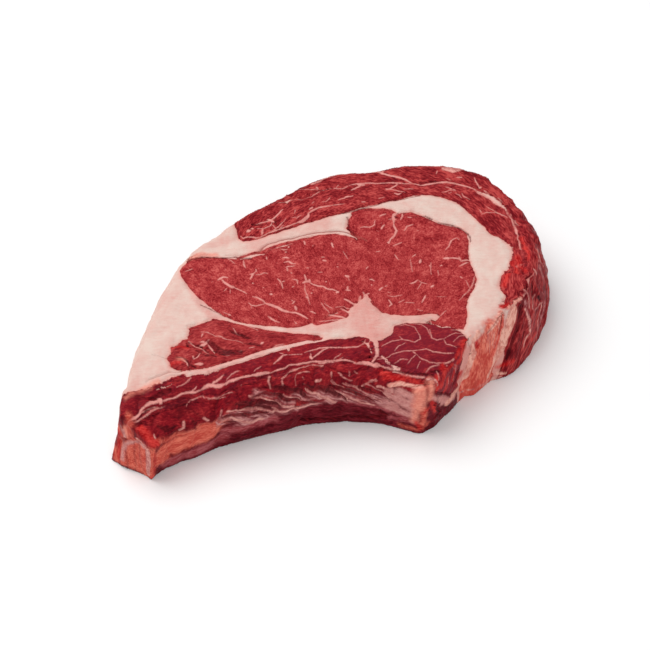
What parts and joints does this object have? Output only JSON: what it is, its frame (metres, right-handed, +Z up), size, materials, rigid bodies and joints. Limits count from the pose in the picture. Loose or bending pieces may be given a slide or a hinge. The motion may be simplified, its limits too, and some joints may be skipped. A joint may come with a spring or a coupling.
{
  "type": "raw bone-in ribeye steak",
  "caption": "Thick raw rib steak lying on its cut face, with a rib along one side, an eye muscle, a cap of lean and the fat between them.",
  "frame": {"origin": "middle of the plan box, on the flat underside", "axes": "+X along the rib from its cut tip to the chine end, +Y from the rib side to the fat cap, +Z up through the thickness"},
  "size_m": [0.2154, 0.181, 0.039],
  "materials": {
    "eye_muscle": "moist raw lean, fine grain",
    "cap_muscle": "moist raw lean, coarse grain",
    "outer_cap_muscle": "moist raw lean, coarse grain",
    "edge_lean": "moist raw lean, side of the cut",
    "left_lean": "moist raw lean",
    "upper_rib_lean": "moist raw lean, dark",
    "lower_rib_lean": "moist raw lean, dark",
    "chine_lean": "moist raw lean, purple",
    "fat": "firm cream fat, slightly waxy",
    "rib_bone": "bone under wet crimson membrane"
  },
  "bodies": {
    "root": {"eye_muscle": "eye_muscle", "cap_muscle": "cap_muscle", "outer_cap_muscle": "outer_cap_muscle", "edge_lean": "edge_lean", "left_lean": "left_lean", "upper_rib_lean": "upper_rib_lean", "lower_rib_lean": "lower_rib_lean", "chine_lean": "chine_lean", "fat": "fat", "rib_bone": "rib_bone"}
  },
  "joints": []
}
